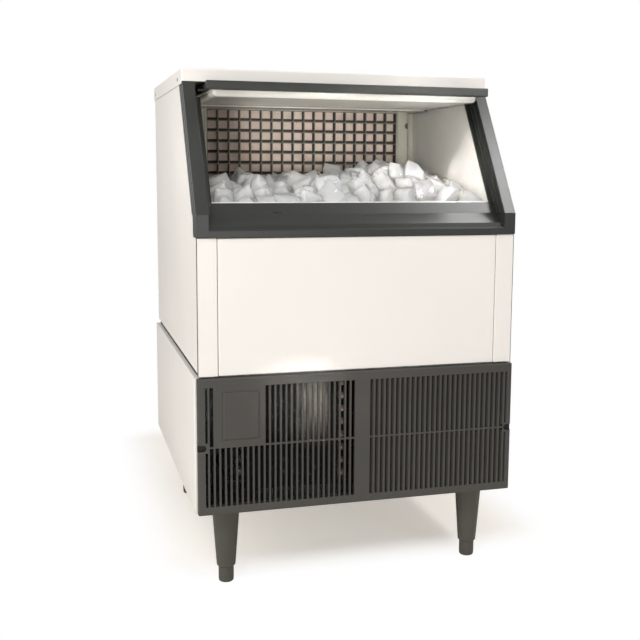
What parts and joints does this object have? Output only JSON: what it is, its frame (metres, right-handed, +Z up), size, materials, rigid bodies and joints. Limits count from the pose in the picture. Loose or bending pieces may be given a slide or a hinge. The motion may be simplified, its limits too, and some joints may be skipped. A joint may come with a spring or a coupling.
{
  "type": "undercounter ice machine",
  "caption": "Undercounter ice machine on legs: insulated ice bin with a slanted slide-back door, freezing plate above the ice, and a machine compartment behind a slotted grille.",
  "frame": {"origin": "middle of the overall footprint, on the floor under the four feet", "axes": "+X to the right as seen by someone standing in front, +Y from the front grille to the back, +Z up"},
  "size_m": [0.624, 0.668, 0.9654],
  "materials": {
    "white_paint": "warm white baked enamel on sheet steel, smooth and half glossy",
    "white_plastic": "glossy off-white plastic",
    "ivory_plastic": "pale ivory plastic, slightly worn",
    "dark_abs": "dark grey moulded plastic, satin",
    "grille_plastic": "dark warm grey moulded plastic, satin",
    "leg_plastic": "dark warm grey plastic, satin",
    "black_plastic": "black plastic",
    "black_enamel": "black enamel",
    "clear_plastic": "milky soft tube",
    "nylon": "natural nylon",
    "foam": "rigid cream foam",
    "ice": "wet cubed ice, white and glassy",
    "galvanised": "galvanised sheet steel",
    "fin_stock": "thin bare aluminium",
    "steel": "plain zinc-plated steel",
    "copper": "copper, plated dull on the freezing plate"
  },
  "bodies": {
    "cabinet": {"base_pan": "galvanised", "bin_drain_pipe": "white_plastic", "bin_insulation": "foam", "bin_liner": "white_plastic", "compartment_deck": "galvanised", "compressor": "black_enamel", "condenser_coil": "copper", "condenser_fins": "fin_stock", "control_box": "galvanised", "discharge_line": "copper", "door_sill": "dark_abs", "evaporator_canopy": "white_plastic", "evaporator_coil": "copper", "evaporator_grid": "copper", "evaporator_surround": "ivory_plastic", "fan_motor": "steel", "fan_shroud": "galvanised", "filter_drier": "copper", "front_grille": "grille_plastic", "front_panel": "white_paint", "grille_cover_plate": "grille_plastic", "ice_heap": "ice", "left_corner_post": "white_paint", "left_door_jamb": "dark_abs", "left_door_track": "dark_abs", "left_front_leg": "leg_plastic", "left_lower_side_panel": "white_paint", "left_rear_leg": "leg_plastic", "left_upper_side_panel": "white_paint", "liquid_line": "copper", "rear_service_panel": "galvanised", "rear_upper_panel": "white_paint", "right_corner_post": "white_paint", "right_door_jamb": "dark_abs", "right_door_track": "dark_abs", "right_front_leg": "leg_plastic", "right_lower_side_panel": "white_paint", "right_rear_leg": "leg_plastic", "right_upper_side_panel": "white_paint", "suction_line": "copper", "top_insulation": "foam", "top_panel": "white_paint", "water_distributor": "ivory_plastic", "water_hose": "clear_plastic", "water_inlet_valve": "black_plastic", "water_pump": "black_plastic", "water_trough": "ivory_plastic"},
    "door_carriage": {"left_door_glide": "nylon", "right_door_glide": "nylon"},
    "door": {"door_frame": "dark_abs", "door_plug": "white_plastic"},
    "fan": {"fan_blade": "black_plastic"},
    "left_front_foot": {"left_front_foot": "leg_plastic"},
    "left_rear_foot": {"left_rear_foot": "leg_plastic"},
    "right_front_foot": {"right_front_foot": "leg_plastic"},
    "right_rear_foot": {"right_rear_foot": "leg_plastic"}
  },
  "joints": [
    {"name": "door_slide", "type": "slide", "parent": "cabinet", "child": "door_carriage", "axis": [0, -1, 0], "range_m": [0, 0.1987]},
    {"name": "door_tilt", "type": "hinge", "parent": "door_carriage", "child": "door", "pos_m": [0, 0.0299, 0.9249], "axis": [1, 0, 0], "range_deg": [0, 56.8]},
    {"name": "fan_spin", "type": "hinge", "parent": "cabinet", "child": "fan", "pos_m": [-0.125, -0.237, 0.2864], "axis": [0, 1, 0], "continuous": true},
    {"name": "left_front_foot_screw", "type": "slide", "parent": "cabinet", "child": "left_front_foot", "axis": [0, 0, -1], "range_m": [0, 0.019]},
    {"name": "left_rear_foot_screw", "type": "slide", "parent": "cabinet", "child": "left_rear_foot", "axis": [0, 0, -1], "range_m": [0, 0.019]},
    {"name": "right_front_foot_screw", "type": "slide", "parent": "cabinet", "child": "right_front_foot", "axis": [0, 0, -1], "range_m": [0, 0.019]},
    {"name": "right_rear_foot_screw", "type": "slide", "parent": "cabinet", "child": "right_rear_foot", "axis": [0, 0, -1], "range_m": [0, 0.019]}
  ],
  "couplings": [
    {"joint": "door_tilt", "follows": "door_slide", "rad_per_m": 4.9848}
  ]
}
